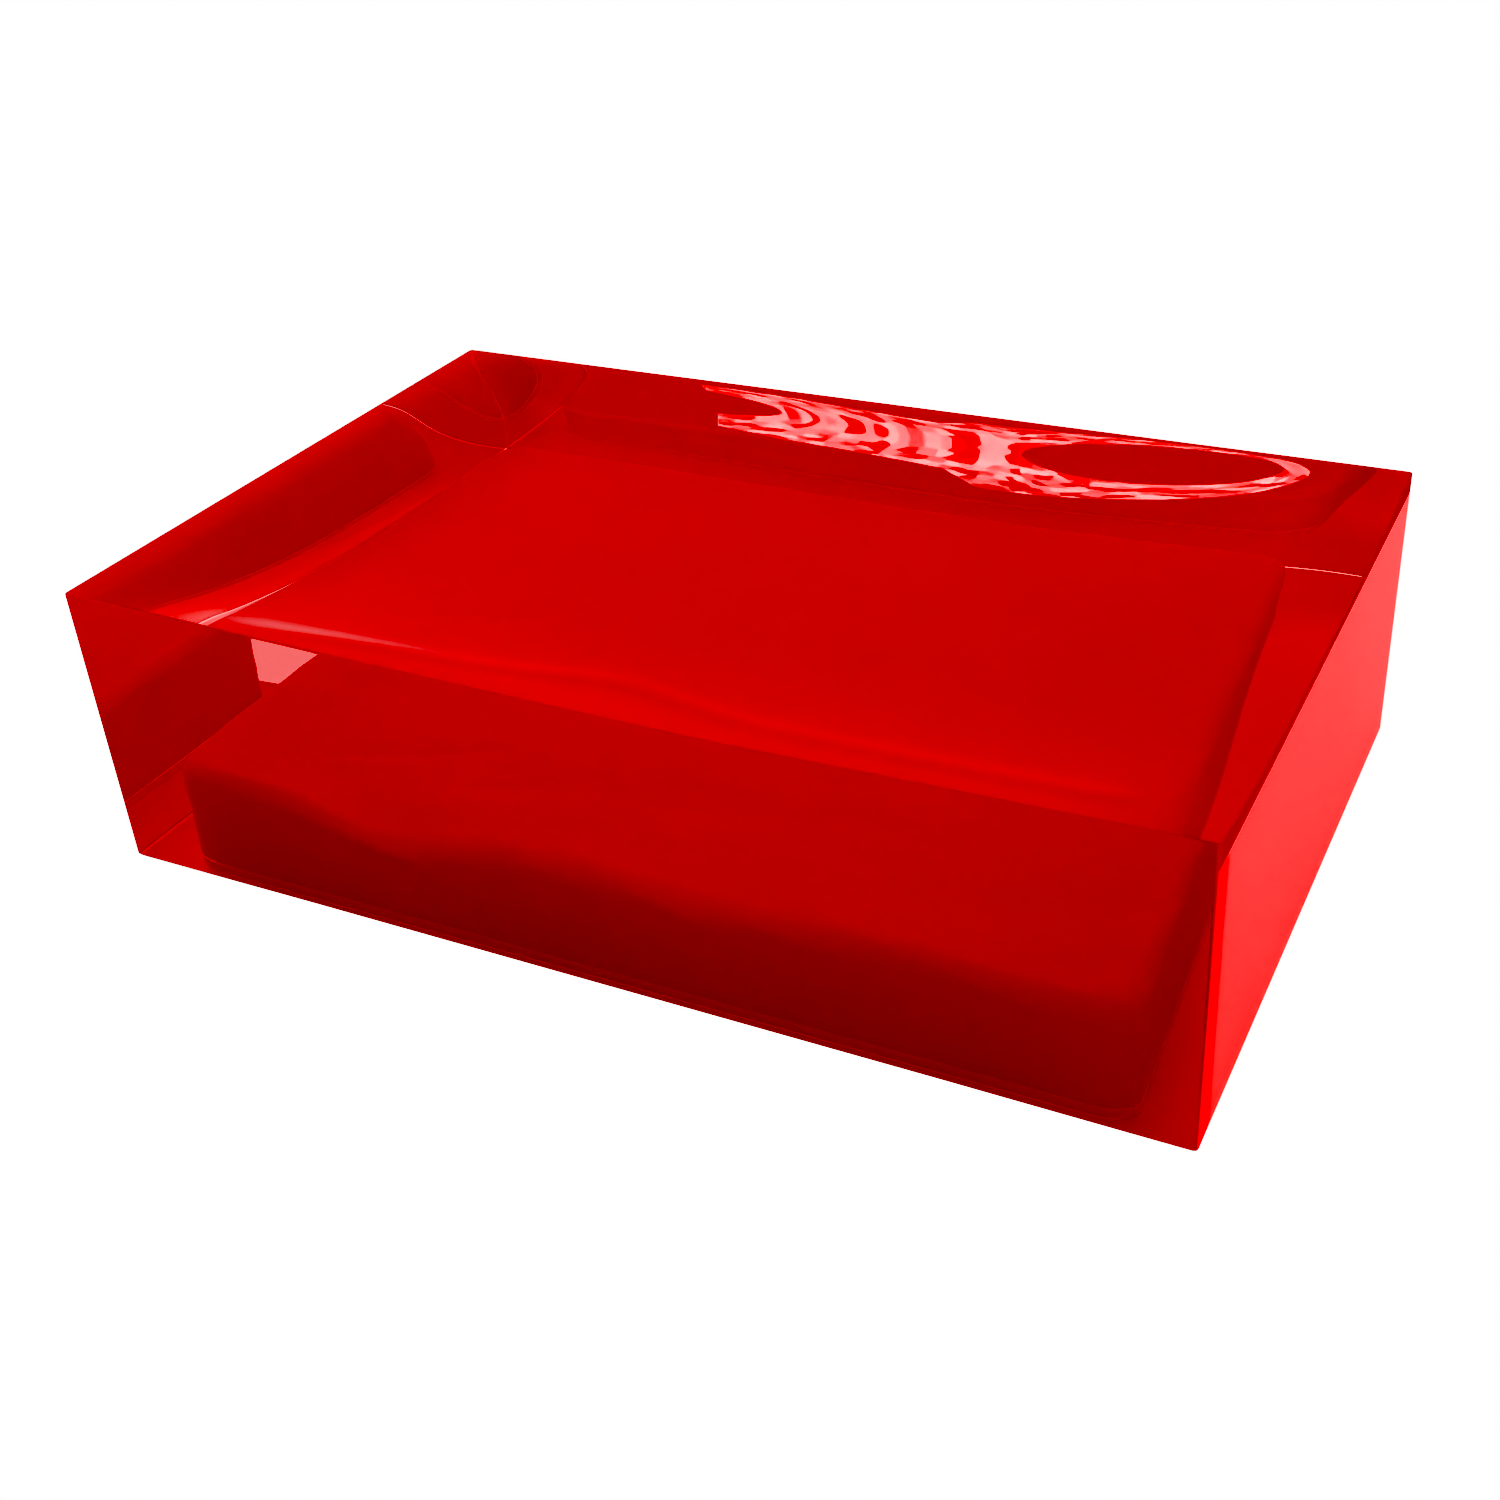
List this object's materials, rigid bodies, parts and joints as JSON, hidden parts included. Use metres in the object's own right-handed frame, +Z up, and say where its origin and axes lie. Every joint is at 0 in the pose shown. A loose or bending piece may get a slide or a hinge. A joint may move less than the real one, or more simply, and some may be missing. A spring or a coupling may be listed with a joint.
{
  "type": "clay bar",
  "caption": "Detailing clay bar lying in a thick, clear red block-shaped case that lifts off it, over a thin base plate.",
  "frame": {"origin": "middle of the underside, on the surface that the part rests on", "axes": "+X along the length, +Y towards the side furthest from the clay, +Z up out of the tray-shaped top"},
  "size_m": [0.1, 0.062, 0.0273],
  "materials": {
    "clear_plate": "frosted, tinted red",
    "clay": "soft, slightly tacky, satin",
    "clear_case": "clear, tinted red, glossy as cast"
  },
  "bodies": {
    "base": {"base_plate": "clear_plate"},
    "bar": {"clay_bar": "clay"},
    "case": {"case_cover": "clear_case"}
  },
  "joints": [
    {"name": "bar_lift", "type": "slide", "parent": "base", "child": "bar", "axis": [0, 0, 1], "range_m": [0, 0.02]},
    {"name": "case_lift", "type": "slide", "parent": "bar", "child": "case", "axis": [0, 0, 1], "range_m": [0, 0.03]}
  ]
}
